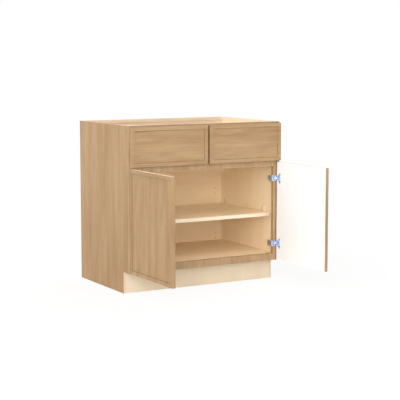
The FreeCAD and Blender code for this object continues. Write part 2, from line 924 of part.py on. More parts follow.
save_pair("drawer_front", [drawer_front()])
save_pair("drawer_outer_side", [box_side(box_right_x - box_side_thickness)])
save_pair("drawer_inner_side", [box_side(box_left_x)])
save_pair("drawer_box_front", [box_front()])
save_pair("drawer_box_back", [box_back()])
save_pair("drawer_bottom", [box_bottom()])
save_pair("drawer_front_screws", front_screws())
save_pair("drawer_bumpers", bumpers(drawer_bumper_places()))
save_pair("slide_drawer_members", channel(drawer_member_profile, box_back_y - box_front_y, box_front_y))
save_pair("slide_middle_members", channel(middle_member_profile, slide_length, slide_front_y))
save_pair("slide_cabinet_members", cabinet_members())
save("slide_screws", *slide_screws(), *[mirrored(screw) for screw in slide_screws()])
save_pair("slide_rear_brackets", rear_brackets())
save("slide_bracket_screws", *bracket_screw_set())
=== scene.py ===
import math

import bmesh
import bpy
from mathutils import Matrix, Vector


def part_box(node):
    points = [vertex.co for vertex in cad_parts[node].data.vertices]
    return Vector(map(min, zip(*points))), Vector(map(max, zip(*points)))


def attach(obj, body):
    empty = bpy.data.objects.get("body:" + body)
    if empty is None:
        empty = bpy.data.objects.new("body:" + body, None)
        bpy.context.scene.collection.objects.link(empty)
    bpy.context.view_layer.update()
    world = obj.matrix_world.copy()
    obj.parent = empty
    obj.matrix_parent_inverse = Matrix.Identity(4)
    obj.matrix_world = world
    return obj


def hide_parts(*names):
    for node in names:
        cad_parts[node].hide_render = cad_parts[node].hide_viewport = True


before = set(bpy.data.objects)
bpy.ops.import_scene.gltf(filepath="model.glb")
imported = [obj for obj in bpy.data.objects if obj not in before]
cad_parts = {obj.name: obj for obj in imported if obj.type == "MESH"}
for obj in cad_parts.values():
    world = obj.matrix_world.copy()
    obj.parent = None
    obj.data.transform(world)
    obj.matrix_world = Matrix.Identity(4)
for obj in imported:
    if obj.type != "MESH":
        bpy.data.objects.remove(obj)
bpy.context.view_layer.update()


# Side panels: 12.7 mm plywood, oak veneer outside and maple inside, with the plies showing on
# the sawn edges. Each is notched for the toe space and glued to the frame, floor and back.
side_easing = 0.0004
side_plies = 9
oak_pore = (124, 93, 62)
oak_colours = ((178, 148, 111), (153, 122, 88), oak_pore)
maple_fleck = (220, 186, 144)
maple_colours = ((251, 229, 193), (241, 215, 177), maple_fleck)
ply_light = (228, 206, 174)
ply_dark = (206, 176, 138)
glue_line = (140, 106, 72)
sides = {"right": 1, "left": -1}
upright = (0, 0, 0)
lie_along_x = (0, math.radians(90), 0)


# Colours are written from 0 to 255, as a picture shows them, and shaders take them linear.
def linear(value):
    share = value / 255
    return share / 12.92 if share <= 0.04045 else ((share + 0.055) / 1.055) ** 2.4


def paint(red, green, blue):
    return linear(red), linear(green), linear(blue), 1


# Each input of a node takes a link or a plain value.
def feed(tree, node, feeds):
    for socket, value in feeds.items():
        if isinstance(value, bpy.types.NodeSocket):
            tree.links.new(value, node.inputs[socket])
        else:
            node.inputs[socket].default_value = value


# A new shader node, with its settings and its inputs.
def add(tree, kind, feeds=None, **settings):
    node = tree.nodes.new("ShaderNode" + kind)
    for name, value in settings.items():
        setattr(node, name, value)
    feed(tree, node, feeds or {})
    return node


def maths(tree, operation, *values):
    return add(tree, "Math", dict(enumerate(values)), operation=operation).outputs[0]


def vector_maths(tree, operation, *values):
    return add(tree, "VectorMath", dict(enumerate(values)), operation=operation).outputs[0]


# Inputs 6 and 7 and output 2 are the colours of a Mix node.
def mixed(tree, share, first, second):
    return add(tree, "Mix", {0: share, 6: first, 7: second}, data_type="RGBA").outputs[2]


def ranged(tree, value, low, high, new_low=0, new_high=1):
    feeds = {"Value": value, "From Min": low, "From Max": high, "To Min": new_low, "To Max": new_high}
    return add(tree, "MapRange", feeds).outputs[0]


def noise(tree, vector, scale, detail, roughness=0.5):
    feeds = {"Vector": vector, "Scale": scale, "Detail": detail, "Roughness": roughness}
    return add(tree, "TexNoise", feeds).outputs["Fac"]


# Most of a noise lies between these two values, and they are spread over a new range.
noise_low = 0.3
noise_high = 0.7


def spread(tree, value, low, high):
    return ranged(tree, value, noise_low, noise_high, low, high)


# A new node group, with its inputs' outlets inside it and the node that its outputs go to.
def effect(name, inputs, outputs):
    tree = bpy.data.node_groups.new(name, "ShaderNodeTree")
    for label, kind in inputs:
        tree.interface.new_socket(label, in_out="INPUT", socket_type="NodeSocket" + kind)
    for label, kind in outputs:
        tree.interface.new_socket(label, in_out="OUTPUT", socket_type="NodeSocket" + kind)
    return tree, tree.nodes.new("NodeGroupInput").outputs, tree.nodes.new("NodeGroupOutput")


# Wood figure with its grain along Z: broad bands of tone, growth lines that wander, fibres and
# open pores. Each run draws its pattern out along the grain.
band_run = (1, 1, 0.12)
line_run = (1, 1, 0.05)
fibre_run = (1, 1, 0.012)
drift_scale = 5
drift_middle = (0.5, 0.5, 0.5)
line_wander = (0.02, 0.02, 0.02)
line_roughness = 0.65
fibre_scale = 1100
pore_scale = 2400
band_weight = 0.6
line_weight = 0.3
fibre_weight = 0.1
early_wood_range = (0.42, 0.6)
pore_range = (0.56, 0.66)
light_roughness = 0.42
dark_extra_roughness = 0.1
pore_sink = -0.7
dark_sink = -0.3


def wood_figure():
    tree, given, made = effect(
        "wood_figure",
        [("Vector", "Vector"), ("Light", "Color"), ("Dark", "Color"), ("Pore", "Color"),
         ("Band Scale", "Float"), ("Line Scale", "Float"), ("Contrast", "Float"), ("Pores", "Float")],
        [("Color", "Color"), ("Roughness", "Float"), ("Height", "Float")],
    )
    along_bands = vector_maths(tree, "MULTIPLY", given["Vector"], band_run)
    along_lines = vector_maths(tree, "MULTIPLY", given["Vector"], line_run)
    along_fibres = vector_maths(tree, "MULTIPLY", given["Vector"], fibre_run)
    drift = add(tree, "TexNoise", {"Vector": along_lines, "Scale": drift_scale, "Detail": 2})
    centred_drift = vector_maths(tree, "SUBTRACT", drift.outputs["Color"], drift_middle)
    wander = vector_maths(tree, "MULTIPLY", centred_drift, line_wander)
    wavy = vector_maths(tree, "ADD", along_lines, wander)
    bands = noise(tree, along_bands, given["Band Scale"], detail=2)
    lines = noise(tree, wavy, given["Line Scale"], detail=4, roughness=line_roughness)
    fibres = noise(tree, along_fibres, fibre_scale, detail=1)
    pores = noise(tree, along_lines, pore_scale, detail=0)
    band_part = maths(tree, "MULTIPLY", bands, band_weight)
    line_part = maths(tree, "MULTIPLY", lines, line_weight)
    fibre_part = maths(tree, "MULTIPLY", fibres, fibre_weight)
    tone = maths(tree, "ADD", maths(tree, "ADD", band_part, line_part), fibre_part)
    centred_tone = maths(tree, "SUBTRACT", tone, 0.5)
    tone_share = ranged(tree, maths(tree, "MULTIPLY_ADD", centred_tone, given["Contrast"], 0.5), 0, 1)
    early_wood = ranged(tree, lines, *early_wood_range)
    open_pores = maths(tree, "MULTIPLY", ranged(tree, pores, *pore_range), early_wood)
    pore_share = maths(tree, "MULTIPLY", open_pores, given["Pores"])
    ground = mixed(tree, tone_share, given["Light"], given["Dark"])
    low_pores = maths(tree, "MULTIPLY", pore_share, pore_sink)
    feed(tree, made, {
        "Color": mixed(tree, pore_share, ground, given["Pore"]),
        "Roughness": maths(tree, "MULTIPLY_ADD", tone_share, dark_extra_roughness, light_roughness),
        "Height": maths(tree, "MULTIPLY_ADD", tone_share, dark_sink, low_pores),
    })
    return tree


# Sawn edge of plywood: plies of alternate grain with a thin glue line between them, and the
# fine marks of the saw across both.
ply_waver = 0.00015
waver_scale = 60
ply_contrast = 0.55
saw_scale = 700
saw_contrast = 0.35
glue_line_share = 0.12
glue_strength = 0.55


def plywood_edge():
    tree, given, made = effect(
        "plywood_edge",
        [("Vector", "Vector"), ("Depth", "Float"), ("Thickness", "Float"), ("Plies", "Float"),
         ("Light", "Color"), ("Dark", "Color"), ("Glue", "Color")],
        [("Color", "Color"), ("Height", "Float")],
    )
    waver = noise(tree, given["Vector"], waver_scale, detail=1)
    nudge = ranged(tree, waver, 0, 1, -ply_waver, ply_waver)
    share = maths(tree, "DIVIDE", maths(tree, "ADD", given["Depth"], nudge), given["Thickness"])
    counted = maths(tree, "MULTIPLY", share, given["Plies"])
    parity = maths(tree, "PINGPONG", maths(tree, "FLOOR", counted), 1)
    line = maths(tree, "LESS_THAN", maths(tree, "FRACT", counted), glue_line_share)
    saw_marks = noise(tree, given["Vector"], saw_scale, detail=2)
    ply_tone = maths(tree, "MULTIPLY", parity, ply_contrast)
    tone = maths(tree, "MAXIMUM", ply_tone, spread(tree, saw_marks, 0, saw_contrast))
    ply = mixed(tree, tone, given["Light"], given["Dark"])
    feed(tree, made, {
        "Color": mixed(tree, maths(tree, "MULTIPLY", line, glue_strength), ply, given["Glue"]),
        "Height": maths(tree, "SUBTRACT", saw_marks, line),
    })
    return tree


figure_group = wood_figure()
ply_group = plywood_edge()


def new_material(name):
    material = bpy.data.materials.new(name)
    material.use_nodes = True
    tree = material.node_tree
    return material, tree, tree.nodes["Principled BSDF"]


def object_place(tree):
    return add(tree, "TexCoord").outputs["Object"]


def relief(tree, height, distance, strength):
    return add(tree, "Bump", {"Height": height, "Distance": distance, "Strength": strength}).outputs[0]


# The figure's grain runs along Z, so a turn lays it along another edge of the board. The scales
# are those of the bands and of the growth lines.
grain_depth = 0.00012
coat_roughness = 0.35


def wood(name, colours, turn, scales, contrast, pores, offset=(0, 0, 0), coat=0.0, gloss=0.5):
    material, tree, surface = new_material(name)
    laid = add(tree, "Mapping", {"Vector": object_place(tree), "Rotation": turn, "Location": offset})
    light, dark, pore = [paint(*colour) for colour in colours]
    band_scale, line_scale = scales
    figure = add(tree, "Group", {
        "Vector": laid.outputs[0], "Light": light, "Dark": dark, "Pore": pore,
        "Band Scale": band_scale, "Line Scale": line_scale, "Contrast": contrast, "Pores": pores,
    }, node_tree=figure_group).outputs
    feed(tree, surface, {
        "Base Color": figure["Color"], "Roughness": figure["Roughness"],
        "Normal": relief(tree, figure["Height"], grain_depth, strength=0.8),
        "Coat Weight": coat, "Coat Roughness": coat_roughness, "Specular IOR Level": gloss,
    })
    return material


def sealed_maple(name, turn, offset):
    return wood(name, maple_colours, turn, scales=(12, 90), contrast=2.6, pores=0.2, offset=offset, coat=0.1)


# The plies lie across one axis of the board, from its lowest face to its highest.
saw_depth = 0.0001
sawn_roughness = 0.75


def ply_edge(name, node, axis, plies):
    low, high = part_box(node)
    material, tree, surface = new_material(name)
    place = object_place(tree)
    through = add(tree, "SeparateXYZ", {0: place}).outputs[axis]
    edge = add(tree, "Group", {
        "Vector": place, "Depth": maths(tree, "SUBTRACT", through, low[axis]),
        "Thickness": high[axis] - low[axis], "Plies": plies,
        "Light": paint(*ply_light), "Dark": paint(*ply_dark), "Glue": paint(*glue_line),
    }, node_tree=ply_group).outputs
    feed(tree, surface, {
        "Base Color": edge["Color"], "Roughness": sawn_roughness,
        "Normal": relief(tree, edge["Height"], saw_depth, strength=0.6),
    })
    return material


# A copy of a piece's solid, merged, with every arris longer than shortest eased.
weld = 0.00001
sliver = 0.000005
flat_within = math.radians(1)
arris_from = math.radians(60)
arris_segments = 3
shortest_arris = 0.02


def eased(node, easing, shortest=shortest_arris):
    shape = bmesh.new()
    shape.from_mesh(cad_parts[node].data)
    bmesh.ops.remove_doubles(shape, verts=shape.verts, dist=weld)
    bmesh.ops.dissolve_limit(shape, angle_limit=flat_within, verts=shape.verts, edges=shape.edges)
    arrises = [edge for edge in shape.edges
               if edge.is_manifold and edge.calc_length() > shortest
               and edge.calc_face_angle() > arris_from]
    bmesh.ops.bevel(shape, geom=arrises, offset=easing, segments=arris_segments, profile=0.5, affect="EDGES",
                    material=-1, loop_slide=True, clamp_overlap=True)
    bmesh.ops.dissolve_degenerate(shape, dist=sliver, edges=shape.edges)
    return shape


# Each face takes the finish of the first test that it passes, and the first finish of all
# where it passes none.
def clad(shape, *tests):
    for face in shape.faces:
        for number, test in enumerate(tests, start=1):
            if test(face.normal, face.calc_center_median()):
                face.material_index = number
                break


# Tests of a face: it looks along an axis to one side, or to either side.
square_on = 0.9


def facing(axis, sign):
    return lambda normal, place: normal[axis] * sign > square_on


def square_to(axis):
    return lambda normal, place: abs(normal[axis]) > square_on


# A finished piece is smooth but for its sharp edges, and takes the place of a node on its body.
sharp_from = math.radians(36)


def set_in_place(name, shape, finishes, body, node):
    for face in shape.faces:
        face.smooth = True
    for edge in shape.edges:
        edge.smooth = edge.calc_face_angle(0) < sharp_from
    mesh = bpy.data.meshes.new(name)
    shape.to_mesh(mesh)
    shape.free()
    for finish in finishes:
        mesh.materials.append(finish)
    piece = bpy.data.objects.new(name, mesh)
    bpy.context.scene.collection.objects.link(piece)
    flat_faces = piece.modifiers.new("flat_faces", "WEIGHTED_NORMAL")
    flat_faces.weight = 100
    flat_faces.keep_sharp = True
    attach(piece, body)
    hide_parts(node)


oak_side = wood("oak_side_veneer", oak_colours, upright, scales=(15, 130), contrast=2.9, pores=0.5,
                offset=(11.28, 11.84, 14.52), gloss=0.15)
maple_upright = sealed_maple("maple_upright", upright, offset=(0.3, 0.2, 0))
for side, sign in sides.items():
    node = side + "_side_panel"
    panel = eased(node, side_easing)
    clad(panel, facing(0, sign), facing(0, -sign))
    edge = ply_edge(node + "_edge", node, axis=0, plies=side_plies)
    set_in_place(side + "_side", panel, [edge, oak_side, maple_upright], "carcass", node)


# Floor, back panel, toe kick board and hanging rail: 12.7 mm maple plywood, with the floor and
# the back sealed. These two sit in housings in the side panels, and the rail is glued on.
board_plies = 9
board_easing = 0.0003
toe_easing = 0.0015
bare_colours = ((227, 211, 186), (215, 197, 169), (193, 168, 135))
# Painted shade: the rail's maple is darker and greyer than the other maple, for the shade inside the open
# top.
shaded_rail_colours = ((224, 205, 179), (203, 178, 148), (184, 152, 118))
# Painted shadow: a soft dark line across the rail, this far below its top.
rail_shadow_line = (150, 112, 72)
rail_shadow_line_depth = 0.02
rail_shadow_line_half = 0.005
rail_shadow_line_strength = 0.35
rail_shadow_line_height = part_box("rear_top_rail")[1].z - rail_shadow_line_depth
# Painted shade: the walls of the drilled holes are dark for the shade inside them.
bore_shade_colours = ((120, 84, 52), (88, 58, 34), (88, 58, 34))
bore_margin = 0.0005
bore_facet = 0.00004


# Drilled holes are all small faces inside the board's outline, so they take the last finish,
# which is dark brown as painted shade inside the holes.
def clad_bores(shape, node, number):
    low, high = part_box(node)
    for face in shape.faces:
        place = face.calc_center_median()
        inside = all(low[axis] + bore_margin < place[axis] < high[axis] - bore_margin for axis in range(3))
        if inside and face.calc_area() < bore_facet:
            face.material_index = number


# Painted shade: a finish darkens in a soft band across one axis, most at the band's middle.
def paint_shade_band(material, colour, axis, middle, half_width, most):
    tree = material.node_tree
    surface = tree.nodes["Principled BSDF"]
    clean = surface.inputs["Base Color"].links[0].from_socket
    across = add(tree, "SeparateXYZ", {0: object_place(tree)}).outputs[axis]
    distance = maths(tree, "ABSOLUTE", maths(tree, "SUBTRACT", across, middle))
    share = ranged(tree, distance, half_width, 0, 0, most)
    feed(tree, surface, {"Base Color": mixed(tree, share, clean, paint(*colour))})


maple_across = sealed_maple("maple_across", lie_along_x, offset=(0, 0.4, 0.7))
bare_maple = wood("bare_maple", bare_colours, upright, scales=(14, 120), contrast=1.3, pores=0.2,
                  offset=(0.6, 0, 0))
# Painted shade: the rail takes a darker maple than the rest.
shaded_rail_maple = wood("shaded_rail_maple", shaded_rail_colours, lie_along_x, scales=(45, 300), contrast=3.2, pores=0.2,
                  offset=(13.18, 14.25, 17.26))
# Painted shadow: a dark line across the rail, 20 mm below its top.
paint_shade_band(shaded_rail_maple, rail_shadow_line, axis=2, middle=rail_shadow_line_height, half_width=rail_shadow_line_half,
       most=rail_shadow_line_strength)
bore_shade_wood = wood("bore_shade_wood", bore_shade_colours, upright, scales=(200, 900), contrast=2.0, pores=0.5)
for node, axis, finish, easing, slot in (
        ("floor_panel", 2, maple_across, board_easing, "maple_plywood"),
        ("back_panel", 1, maple_across, board_easing, "maple_plywood"),
        ("toe_kick_board", 1, bare_maple, toe_easing, "toe_board"),
        ("rear_top_rail", 1, shaded_rail_maple, board_easing, "maple_plywood")):
    board = eased(node, easing)
    clad(board, square_to(axis))
    clad_bores(board, node, number=2)
    edge = ply_edge(node + "_edge", node, axis, board_plies)
    set_in_place(node + "_board", board, [edge, finish, bore_shade_wood], "carcass", node)


# Corner braces: moulded plastic gussets behind the face frame, screwed to the frame and side.
# Their faces carry the fine grain of the mould.
brace_easing = 0.0006
brace_shortest = 0.005
brace_colour = (228, 208, 176)
cloud_scale = 30
cloud_range = (0.35, 0.65)
cloud_dark_share = 0.93
mould_grain_scale = 900
mould_grain_depth = 0.00005
mould_smoother = -0.05
mould_rougher = 0.08
scatter_depths = (0.003, 0.002, 0.001)


def dimmed(colour, share):
    red, green, blue, opaque = paint(*colour)
    return red * share, green * share, blue * share, opaque


def plastic(name, colour, roughness, subsurface=0.0, clearness=0.0):
    material, tree, surface = new_material(name)
    place = object_place(tree)
    speckle = noise(tree, place, mould_grain_scale, detail=2)
    cloud = ranged(tree, noise(tree, place, cloud_scale, detail=2), *cloud_range)
    feed(tree, surface, {
        "Base Color": mixed(tree, cloud, paint(*colour), dimmed(colour, cloud_dark_share)),
        "Roughness": spread(tree, speckle, roughness + mould_smoother, roughness + mould_rougher),
        "Normal": relief(tree, speckle, mould_grain_depth, strength=0.7),
        "Subsurface Weight": subsurface, "Subsurface Radius": scatter_depths,
        "Transmission Weight": clearness,
    })
    return material


brace_plastic = plastic("moulded_brace", brace_colour, roughness=0.5)
for side in sides:
    node = side + "_corner_brace"
    set_in_place(side + "_brace", eased(node, brace_easing, brace_shortest), [brace_plastic], "carcass",
                 node)


# Face frame: six members of 19 mm oak joined with glue, all with upright grain, so that the
# rails show end grain above and below. The middle rail is a paler oak as painted light, which
# weakens the drawer fronts' shadow on it, and the right stile has a painted shadow where the
# open door stands beside it.
frame_easing = 0.0006
# Painted light: a paler oak for the middle rail, against the drawer fronts' shadow on it.
lit_rail_oak_colours = ((185, 154, 117), (159, 127, 93), oak_pore)
end_grain_colours = ((168, 136, 99), (144, 112, 77), oak_pore)
# Painted shadow: the dark oak that the shadow bands blend to, and the stile's band beside the open door.
painted_shade_oak = (96, 68, 42)
painted_shade_oak_strength = 0.8
stile_shadow_half = 0.007
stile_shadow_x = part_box("right_door")[0].x
frame_oak = wood("oak_members", oak_colours, upright, scales=(60, 260), contrast=3.4, pores=0.6,
                 offset=(23.62, 19.55, 29.04), gloss=0.3)
lit_rail_oak = wood("oak_lit_rail_member", lit_rail_oak_colours, upright, scales=(60, 260), contrast=3.4, pores=0.6,
                offset=(15.3, 14.67, 19.32), gloss=0.3)
oak_end = wood("oak_end_grain", end_grain_colours, upright, scales=(60, 400), contrast=2.0, pores=0.9,
               offset=(1.3, 0.7, 0.2))
# Painted shadow on the right stile, where the open door stands beside it.
paint_shade_band(frame_oak, painted_shade_oak, axis=0, middle=stile_shadow_x, half_width=stile_shadow_half, most=painted_shade_oak_strength)
for node in ("right_frame_stile", "left_frame_stile", "frame_top_rail", "frame_middle_rail",
             "frame_bottom_rail", "frame_centre_stile"):
    member = eased(node, frame_easing)
    clad(member, square_to(2))
    # The middle rail takes the paler oak, as painted light.
    face_oak = lit_rail_oak if node == "frame_middle_rail" else frame_oak
    set_in_place(node.replace("frame_", "oak_"), member, [face_oak, oak_end], "carcass", node)


# Shelf and its clips: a 19 mm maple board with a pale edge band, on four moulded clips that
# plug into the side panels and lock over the board.
shelf_easing = 0.0004
shelf_plies = 13
clip_easing = 0.0005
clip_shortest = 0.003
clip_colour = (221, 209, 185)
band_colours = ((236, 218, 192), (227, 208, 179), maple_fleck)
band_lean = 0.1
band_back_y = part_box("shelf")[0].y + shelf_easing
shelf_maple = sealed_maple("shelf_maple", lie_along_x, offset=(0.2, 0.9, 0.1))
shelf_band = wood("shelf_edge_band", band_colours, lie_along_x, scales=(20, 150), contrast=1.1, pores=0.05,
                  coat=0.2)
clip_plastic = plastic("moulded_clip", clip_colour, roughness=0.35, subsurface=0.1)
shelf_edge = ply_edge("shelf_sawn_edge", "shelf", axis=2, plies=shelf_plies)

# The upper and lower faces are maple, and all that leans forward is the edge band.
board = eased("shelf", shelf_easing)
clad(board, lambda normal, place: abs(normal.z) > square_on and place.y > band_back_y,
     lambda normal, place: normal.y < -band_lean)
set_in_place("shelf_board", board, [shelf_edge, shelf_maple, shelf_band], "carcass", "shelf")
set_in_place("clips", eased("shelf_clips", clip_easing, clip_shortest), [clip_plastic], "carcass",
             "shelf_clips")


# Doors: 19 mm boards with a routed slim frame, wrapped in oak foil on the face and edges and
# white on the inner face. The ends have a pale band as painted highlight, the routed step a
# darker foil as painted shade, and the foil has a painted shadow along the hinge edge.
foil_easing = 0.0005
routed_shortest = 0.1
step_inset = 0.012
step_lean = 0.5
# Painted shadow along the hinge edge: its half width and where it lies.
hinge_shadow_half = 0.009
hinge_edge_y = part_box("left_door")[1].y
# Painted shade: the routed step's foil is darker, for the shade in the recess.
shaded_step_colours = ((160, 132, 97), (137, 108, 76), oak_pore)
# Painted highlight: the pale band on the top and bottom ends of the doors.
end_highlight_colours = ((246, 226, 194), (236, 212, 176), (214, 184, 146))
foil_white = (250, 250, 250)
foil_shade = (246, 246, 246)
foil_peel_scale = 350
foil_cloud_scale = 6
foil_peel_depth = 0.00004
foil_roughness_range = (0.32, 0.42)


# A test of a face: it lies in an outermost plane of its board, on the given sides of an axis.
def outermost(box, axis, *signs):
    low, high = box
    levels = {1: high[axis], -1: low[axis]}
    return lambda normal, place: any(
        normal[axis] * sign > square_on and abs(place[axis] - levels[sign]) < foil_easing for sign in signs)


# A test of a face: it belongs to the routed step, inside the slim frame and across the board.
def step(box, axis):
    low, high = box
    others = [other for other in range(3) if other != axis]
    return lambda normal, place: abs(normal[axis]) < step_lean and all(
        low[other] + step_inset < place[other] < high[other] - step_inset for other in others)


def white_foil():
    material, tree, surface = new_material("white_foil")
    place = object_place(tree)
    peel = noise(tree, place, foil_peel_scale, detail=2)
    cloud = noise(tree, place, foil_cloud_scale, detail=2)
    feed(tree, surface, {
        "Base Color": mixed(tree, cloud, paint(*foil_white), paint(*foil_shade)),
        "Roughness": spread(tree, peel, *foil_roughness_range),
        "Normal": relief(tree, peel, foil_peel_depth, strength=0.5),
    })
    return material


def oak_foil(name, turn, colours=oak_colours, scales=(26, 170), offset=(0, 0, 0), gloss=0.15):
    return wood(name, colours, turn, scales=scales, contrast=2.8, pores=0.45, offset=offset, gloss=gloss)


foil_upright = oak_foil("oak_foil_upright", upright, offset=(25.22, 22.22, 32.82))
end_highlight = wood("door_end_band", end_highlight_colours, upright, scales=(40, 300), contrast=1.5, pores=0.1)
shaded_step_upright = oak_foil("oak_shaded_step_upright", upright, shaded_step_colours)
white_back = white_foil()
# Painted shadow: the upright foil darkens along the hinge edge, where the door meets the stile.
paint_shade_band(foil_upright, painted_shade_oak, axis=1, middle=hinge_edge_y, half_width=hinge_shadow_half,
       most=painted_shade_oak_strength)
for side, sign in sides.items():
    node = side + "_door"
    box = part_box(node)
    board = eased(node, foil_easing, routed_shortest)
    clad(board, outermost(box, 0, -sign), outermost(box, 2, 1, -1), step(box, 0))
    set_in_place(node + "_board", board, [foil_upright, white_back, end_highlight, shaded_step_upright], node,
                 node)


# Drawer fronts: the same routed board as the doors, wrapped in the same foil with the grain
# laid across, and screwed on from inside the drawer box.
front_offsets = {"left": (4.4, 7.61, 5.24), "right": (13.46, 11.28, 17.04)}
front_scales = {"left": (26, 170), "right": (36, 170)}
# Painted shade: the routed step takes the darker foil, as on the doors.
shaded_step_across = oak_foil("oak_shaded_step_across", lie_along_x, shaded_step_colours)
for side in sides:
    node = side + "_drawer_front"
    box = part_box(node)
    foil_across = oak_foil("oak_foil_" + node, lie_along_x, scales=front_scales[side],
                           offset=front_offsets[side], gloss=0.25)
    board = eased(node, foil_easing, routed_shortest)
    clad(board, outermost(box, 1, 1), step(box, 1))
    set_in_place(node + "_board", board, [foil_across, white_back, shaded_step_across], side + "_drawer",
                 node)


# Drawer boxes: solid maple sides dovetailed to the front and back, with a plywood bottom in a
# groove. All are clear coated, and end grain shows where the tails and pins come through.
box_easing = 0.0012
box_colours = ((243, 220, 186), (229, 201, 161), (203, 166, 124))
box_end_colours = ((222, 190, 148), (205, 170, 126), (178, 140, 98))
lie_along_y = (math.radians(90), 0, 0)
long_offset = (0.4, 0.1, 0.2)
cross_offset = (0.9, 0.3, 0.5)


def box_maple(grain, turn, offset):
    face = wood("drawer_maple_" + grain, box_colours, turn, scales=(16, 120), contrast=1.4, pores=0.12,
                offset=offset, coat=0.3)
    end = wood("drawer_end_" + grain, box_end_colours, turn, scales=(50, 400), contrast=1.5, pores=0.5,
               offset=offset)
    return [face, end]


long_maple = box_maple("long", lie_along_y, long_offset)
cross_maple = box_maple("cross", lie_along_x, cross_offset)
for side in sides:
    for part, finishes, end_axis in (
            ("drawer_outer_side", long_maple, 1), ("drawer_inner_side", long_maple, 1),
            ("drawer_box_front", cross_maple, 0), ("drawer_box_back", cross_maple, 0)):
        node = side + "_" + part
        board = eased(node, box_easing, routed_shortest)
        clad(board, square_to(end_axis))
        set_in_place(node + "_board", board, finishes, side + "_drawer", node)
    node = side + "_drawer_bottom"
    set_in_place(node + "_board", eased(node, board_easing), [maple_across], side + "_drawer",
                 node)


# Drawer slides: rolled zinc-plated steel channels, three to a side of each box, with a rear
# bracket. They are screwed to the frame's stiles, and the brackets to the back panel.
slide_easing = 0.00025
slide_shortest = 0.01
zinc_colour = (205, 209, 214)
rolled_along_y = (1, 0.02, 1)
streak_scale = 700
streak_depth = 0.00003
spangle_scale = 260
spangle_dark_share = 0.85
streak_smoother = -0.08
streak_rougher = 0.1


def plated(name, colour, roughness, streak=(1, 1, 1)):
    material, tree, surface = new_material(name)
    place = object_place(tree)
    streaks = noise(tree, vector_maths(tree, "MULTIPLY", place, streak), streak_scale, detail=3)
    spangle = add(tree, "TexVoronoi", {"Vector": place, "Scale": spangle_scale}).outputs["Distance"]
    feed(tree, surface, {
        "Base Color": mixed(tree, spangle, paint(*colour), dimmed(colour, spangle_dark_share)),
        "Roughness": spread(tree, streaks, roughness + streak_smoother, roughness + streak_rougher),
        "Normal": relief(tree, streaks, streak_depth, strength=0.5),
        "Metallic": 1,
    })
    return material


zinc = plated("zinc_plate", zinc_colour, roughness=0.36, streak=rolled_along_y)
for side in sides:
    for part, body in (("slide_cabinet_members", "carcass"), ("slide_rear_brackets", "carcass"),
                       ("slide_middle_members", side + "_slide_middle"),
                       ("slide_drawer_members", side + "_drawer")):
        node = side + "_" + part
        set_in_place(node + "_steel", eased(node, slide_easing, slide_shortest), [zinc], body,
                     node)


# Hinges: pressed steel with a bright nickel plate. The arms and plates stay on the frame, and
# the cups and pins go with the doors.
hinge_easing = 0.0003
hinge_shortest = 0.002
nickel_colour = (218, 230, 250)
brushed_along_z = (1, 1, 0.1)
nickel = plated("nickel_plate", nickel_colour, roughness=0.32, streak=brushed_along_z)
for side in sides:
    for part, body in (("hinge_arms", "carcass"), ("hinge_plates", "carcass"),
                       ("hinge_cups", side + "_door")):
        node = side + "_" + part
        set_in_place(node + "_steel", eased(node, hinge_easing, hinge_shortest), [nickel], body,
                     node)


# Hinge pins: turned steel, chamfered at both ends and pressed into the ears of the cups. The
# arm's rolled knuckle turns on the pin.
pin_chamfer = 0.0002
pin_facets = 24
pole_weld = 0.000001


# A profile of radii and heights is turned a full circle about Z.
def turned(profile, facets):
    shape = bmesh.new()
    points = [shape.verts.new((radius, 0, height)) for radius, height in profile]
    for first, second in zip(points, points[1:]):
        shape.edges.new((first, second))
    bmesh.ops.spin(shape, geom=shape.verts[:] + shape.edges[:], axis=(0, 0, 1), cent=(0, 0, 0),
                   angle=math.radians(360), steps=facets, use_merge=True)
    bmesh.ops.remove_doubles(shape, verts=shape.verts, dist=pole_weld)
    bmesh.ops.recalc_face_normals(shape, faces=shape.faces)
    return shape


# Where each round solid of a node sits: its wide end's middle, its direction, length and radius.
# The corners that edges join, near or far, are those of one solid.
def seats(node):
    solids = bmesh.new()
    solids.from_mesh(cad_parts[node].data)
    bmesh.ops.remove_doubles(solids, verts=solids.verts, dist=weld)
    found, seen = [], set()
    for first in solids.verts:
        if first not in seen:
            seen.add(first)
            corners, waiting = [], [first]
            while waiting:
                corner = waiting.pop()
                corners.append(corner.co.copy())
                joined = [edge.other_vert(corner) for edge in corner.link_edges]
                fresh = [other for other in joined if other not in seen]
                seen.update(fresh)
                waiting += fresh
            found.append(seat(corners))
    solids.free()
    return found


# A solid lies along the axis whose two other sizes are the most alike. Ends that are as wide to
# a micrometre count as equal, and the lower one is then its seat.
def seat(corners):
    low = Vector([min(corner[axis] for corner in corners) for axis in range(3)])
    high = Vector([max(corner[axis] for corner in corners) for axis in range(3)])
    middle, size = (low + high) / 2, high - low
    along = min(range(3), key=lambda axis: abs(size[axis - 1] - size[axis - 2]))
    ends = []
    for level, sign in ((low[along], 1), (high[along], -1)):
        centre = middle.copy()
        centre[along] = level
        direction = Vector([sign if axis == along else 0 for axis in range(3)])
        near = [(corner - centre).length for corner in corners if abs(corner[along] - level) < weld]
        ends.append((max(near), centre, direction))
    radius, base, direction = max(ends, key=lambda end: round(end[0], 6))
    return base, direction, size[along], radius


def seated(node, make):
    group = bmesh.new()
    for base, direction, length, radius in seats(node):
        single = make(length, radius)
        turn = direction.to_track_quat("Z", "Y").to_matrix().to_4x4()
        bmesh.ops.transform(single, matrix=Matrix.Translation(base) @ turn, verts=single.verts)
        mesh = bpy.data.meshes.new("single")
        single.to_mesh(mesh)
        single.free()
        group.from_mesh(mesh)
        bpy.data.meshes.remove(mesh)
    return group


def pin(length, radius):
    neck = radius - pin_chamfer
    return turned([(0, 0), (neck, 0), (radius, pin_chamfer), (radius, length - pin_chamfer),
                   (neck, length), (0, length)], pin_facets)


